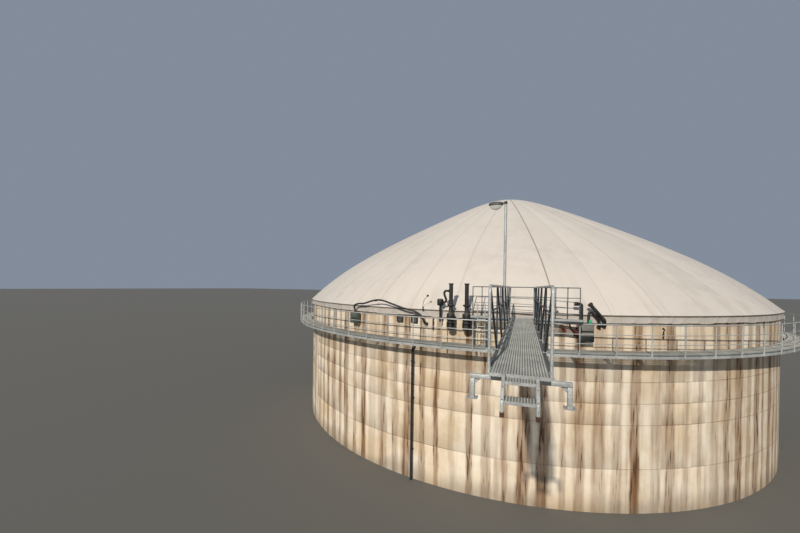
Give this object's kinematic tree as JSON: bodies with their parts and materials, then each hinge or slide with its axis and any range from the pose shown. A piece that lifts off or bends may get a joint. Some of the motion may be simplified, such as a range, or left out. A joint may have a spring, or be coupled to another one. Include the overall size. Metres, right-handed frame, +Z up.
{
  "type": "biogas digester tank with membrane roof",
  "caption": "Round concrete digester tank with a conical membrane roof, a ring walkway with railing, and a gangway to a platform at the eaves.",
  "frame": {"origin": "on the tank's axis at ground level, the centre of the floor slab's underside", "axes": "+Z up, -Y towards the gangway's free end, +X to the right when looking at the tank along the gangway"},
  "size_m": [29.6088, 38.1147, 14.4009],
  "materials": {
    "concrete": "cream concrete with brown run-off stains",
    "membrane": "off-white coated membrane, dull sheen",
    "strap_fabric": "weathered woven strap",
    "galvanised_steel": "hot-dip galvanised, dull spangle",
    "grating": "dusty galvanised grating",
    "dark_housing": "dark powder coat",
    "black_plastic": "black polyethylene",
    "blower_paint": "faded grey green paint",
    "cabinet_paint": "grey powder coat",
    "green_plastic": "green moulded plastic",
    "red_paint": "faded red paint"
  },
  "bodies": {
    "root": {"floor_slab": "concrete", "tank_wall": "concrete", "membrane_roof": "membrane", "roof_crown": "membrane", "membrane_clamp_rail": "galvanised_steel", "membrane_apron": "membrane", "roof_strap": "strap_fabric", "walkway_frame_1": "galvanised_steel", "walkway_deck_1": "grating", "walkway_railing_1": "galvanised_steel", "walkway_frame_2": "galvanised_steel", "walkway_deck_2": "grating", "walkway_railing_2": "galvanised_steel", "walkway_frame_3": "galvanised_steel", "walkway_deck_3": "grating", "walkway_railing_3": "galvanised_steel", "walkway_frame_4": "galvanised_steel", "walkway_deck_4": "grating", "walkway_railing_4": "galvanised_steel", "gangway_frame": "galvanised_steel", "gangway_deck": "grating", "gangway_railing_left": "galvanised_steel", "gangway_railing_right": "galvanised_steel", "gangway_foot_frame": "galvanised_steel", "access_steps": "galvanised_steel", "platform_frame": "galvanised_steel", "platform_deck": "grating", "platform_railing": "galvanised_steel", "platform_ladder": "galvanised_steel", "light_mast": "galvanised_steel", "floodlight": "dark_housing", "pressure_guard_1": "black_plastic", "pressure_guard_2": "black_plastic", "vent_pot": "black_plastic", "vent_gooseneck": "black_plastic", "down_pipe": "black_plastic", "air_blower": "blower_paint", "air_pipe": "black_plastic", "inspection_window_1": "dark_housing", "inspection_window_2": "dark_housing", "control_cabinet": "cabinet_paint", "cabinet_gland_left": "green_plastic", "cabinet_gland_right": "green_plastic", "elbow_vent": "black_plastic", "cabinet_bend": "black_plastic", "slanting_pipe": "black_plastic", "valve_1": "red_paint", "valve_2": "red_paint", "wall_fitting": "dark_housing"}
  },
  "joints": []
}
